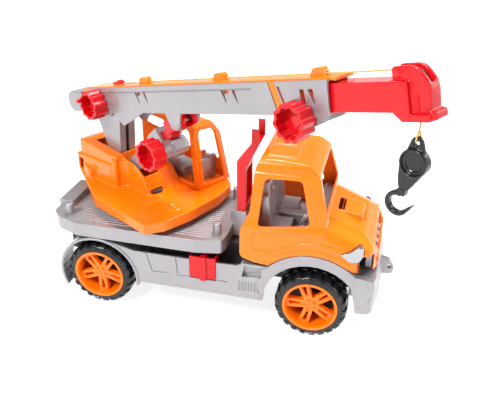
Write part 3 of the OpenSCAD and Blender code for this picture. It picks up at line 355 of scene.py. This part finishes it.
# ---------- tyres ----------
LUGS = 22
TREAD = 2.2
# along one lug pitch: where a block's two sides rise and fall, and the places that get a row of points
LUG_SIDES = ((0.04, 0.10), (0.60, 0.66))
TURNS = (0, 0.04, 0.10, 0.16, 0.35, 0.54, 0.60, 0.66, 0.83)
# half of the carcass: distance from the axle, distance from the middle plane, share of the lug's height
CARCASS = ((37.8, 0.5, 0), (37.8, 1.1, 1), (37.8, 4, 1), (37.8, 8, 1), (37.6, 10.8, 0.95), (36.9, 12.4, 0.85),
           (35.9, 13.3, 0.68), (34.6, 13.7, 0.5), (34.2, 13.9, 0), (33.0, 14.1, 0), (32.2, 14.7, 0),
           (31.2, 14.8, 0), (30.4, 14.2, 0), (29.7, 13.3, 0))
# the shoulder: where blocks start to lean outwards, over what width, how sharply, and what they lose in
# height; no block stands further out than HALF_WIDTH
SHOULDER_FROM = 8
SHOULDER_WIDTH = 6
SHOULDER_CURVE = 1.5
SHOULDER_LOSS = 0.75
HALF_WIDTH = 15
TYRE_SHARP = math.radians(38)
# the tyre's closed back: distance from the axle, distance from the middle plane
BACK_WEB = ((29.2, 11.7), (20, 12.3), (8, 11.7), (3.4, 11.7),
            (3.4, 12.9), (8, 12.9), (20, 13.4), (29.2, 12.9))


def lug_height(turn, row):
    """0 to 1 along one lug pitch; the two rows are half a pitch apart."""
    t = (turn + 0.5 * row) % 1
    (a, b), (c, d) = LUG_SIDES
    return float(np.clip((t - a) / (b - a), 0, 1) * np.clip((d - t) / (d - c), 0, 1))


def tyre_mesh(name, centre):
    """A ring of staggered blocks that wrap over the shoulders of a round carcass, with a closed back."""
    half = [np.array(p) for p in CARCASS]
    ring = [(p, 1) for p in half[::-1]] + [(p, -1) for p in half]
    angles = [(k, t) for k in range(LUGS) for t in TURNS]
    inward = -1 if centre.y > 0 else 1
    mesh = bmesh.new()
    rows, webs = [], []

    def point(a, radius, out):
        return mesh.verts.new((centre.x + radius * MM * math.cos(a), centre.y + out * MM,
                               centre.z + radius * MM * math.sin(a)))

    for k, t in angles:
        a = 2 * math.pi * (k + t) / LUGS
        webs.append([point(a, r, inward * w) for r, w in BACK_WEB])
        row = []
        for (r, w, share), side in ring:
            rise = TREAD * share * lug_height(t, 0 if side > 0 else 1)
            lean = min(max((w - SHOULDER_FROM) / SHOULDER_WIDTH, 0), 1) ** SHOULDER_CURVE
            radius = r + rise * (1 - SHOULDER_LOSS * lean)
            row.append(point(a, radius, side * min(w + rise * lean, HALF_WIDTH)))
        rows.append(row)
    for lines in (rows, webs):
        for row, after in zip(lines, lines[1:] + lines[:1]):
            for j in range(len(row)):
                k = (j + 1) % len(row)
                mesh.faces.new((row[j], row[k], after[k], after[j]))
    bmesh.ops.recalc_face_normals(mesh, faces=mesh.faces)
    data = finish_mesh(name, mesh)
    data.set_sharp_from_angle(angle=TYRE_SHARP)
    return data


def make_tyres():
    for name in ("rear_tyre_left", "rear_tyre_right", "front_tyre_left", "front_tyre_right"):
        low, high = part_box(name)
        new_piece("tread_" + name, tyre_mesh(name, (low + high) / 2), TYRE, BODY_OF[name], name)


# ---------- twisted cord ----------
STRANDS = 3
STRAND_R = 0.36
STRAND_SIDES = 8
LAY_R = 0.32
LAY_PITCH = 3.4
STEPS_PER_TURN = 10


def twisted(name, start, end):
    """A three-strand cord along a straight stretch, with points all the way along."""
    along = end - start
    length = along.length / MM
    frame_of = along.to_track_quat("Z", "Y").to_matrix()
    steps = int(length / LAY_PITCH * STEPS_PER_TURN) + 1
    mesh = bmesh.new()
    for strand in range(STRANDS):
        rings = []
        for i in range(steps + 1):
            z = length * i / steps
            turn = 2 * math.pi * (z / LAY_PITCH + strand / STRANDS)
            mid = Vector((LAY_R * math.cos(turn), LAY_R * math.sin(turn), z))
            ring = []
            for k in range(STRAND_SIDES):
                a = 2 * math.pi * k / STRAND_SIDES
                point = mid + Vector((STRAND_R * math.cos(a), STRAND_R * math.sin(a), 0))
                ring.append(mesh.verts.new(start + frame_of @ (point * MM)))
            rings.append(ring)
        for one, two in zip(rings, rings[1:]):
            for k in range(STRAND_SIDES):
                after = (k + 1) % STRAND_SIDES
                mesh.faces.new((one[k], one[after], two[after], two[k]))
        mesh.faces.new(rings[0][::-1])
        mesh.faces.new(rings[-1])
    return finish_mesh(name, mesh)


def make_cords():
    low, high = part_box("cord_fall")
    top = Vector(((low.x + high.x) / 2, (low.y + high.y) / 2, high.z))
    bottom = Vector((top.x, top.y, low.z))
    fall = new_piece("twisted_fall", twisted("fall", top, bottom), CORD, None, "cord_fall")
    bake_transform(fall)
    low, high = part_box("cord_span")
    near = Vector((low.x, high.y, low.z))
    far = Vector((high.x, low.y, high.z))
    span = new_piece("twisted_span", twisted("span", near, far), CORD, None, "cord_span")
    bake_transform(span)


# ---------- carried-over CAD nodes ----------
# triangles that meet at less than FLAT are one face, and edges over SHARP stay edges
FLAT = math.radians(0.4)
SHARP = math.radians(34)
# how strongly the larger faces steer the shading
FACE_WEIGHT = 80


def crisp(o):
    """Joins a CAD node's triangles into smooth faces with clean edges, which its material rounds."""
    modifier(o, "weld", "WELD", merge_threshold=WELD_GAP)
    modifier(o, "flat", "DECIMATE", decimate_type="DISSOLVE", angle_limit=FLAT)
    modifier(o, "split", "EDGE_SPLIT", split_angle=SHARP)
    modifier(o, "shade", "WEIGHTED_NORMAL", keep_sharp=True, weight=FACE_WEIGHT)


# ---------- all pieces ----------
for name, values in SOFT_SHELLS.items():
    soft_shell(name, *values)
make_tyres()
make_cords()
for name, node in nodes.items():
    dress(node, LENS if name.startswith("headlamp") else OF_SLOT[SLOT_OF[name]])
    if not node.hide_render:
        crisp(node)

# ---------- camera, floor and light in place ---------------------------------
make_camera()
make_studio()
